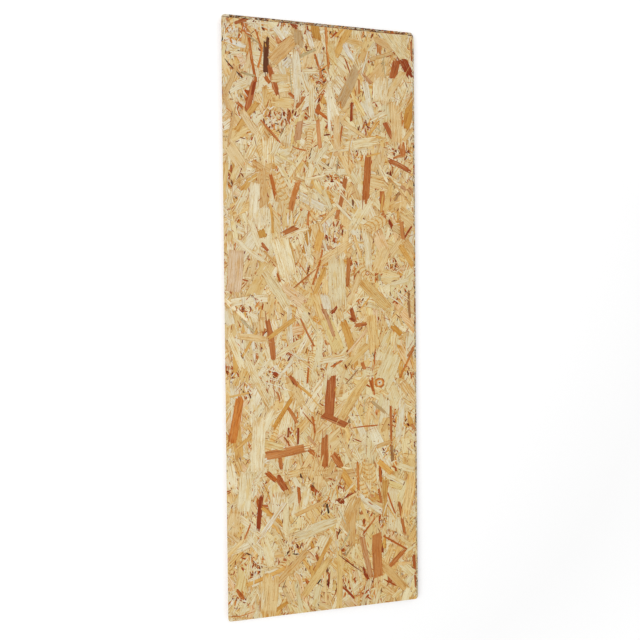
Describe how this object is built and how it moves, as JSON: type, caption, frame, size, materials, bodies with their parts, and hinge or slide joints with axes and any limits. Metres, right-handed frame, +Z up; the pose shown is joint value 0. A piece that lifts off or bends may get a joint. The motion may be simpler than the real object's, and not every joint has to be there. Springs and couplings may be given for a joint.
{
  "type": "osb board",
  "caption": "Flat rectangular sheet of oriented strand board, square sawn edges, knocked and rounded corners.",
  "frame": {"origin": "middle of the underside of the sheet as it lies flat", "axes": "+X across the width, +Y along the length, +Z up through the thickness, out of the face that the picture shows"},
  "size_m": [0.607, 1.829, 0.018],
  "materials": {
    "strand_board": "pressed softwood strands, unsanded, with sawn edges"
  },
  "bodies": {
    "root": {"osb_board": "strand_board"}
  },
  "joints": []
}
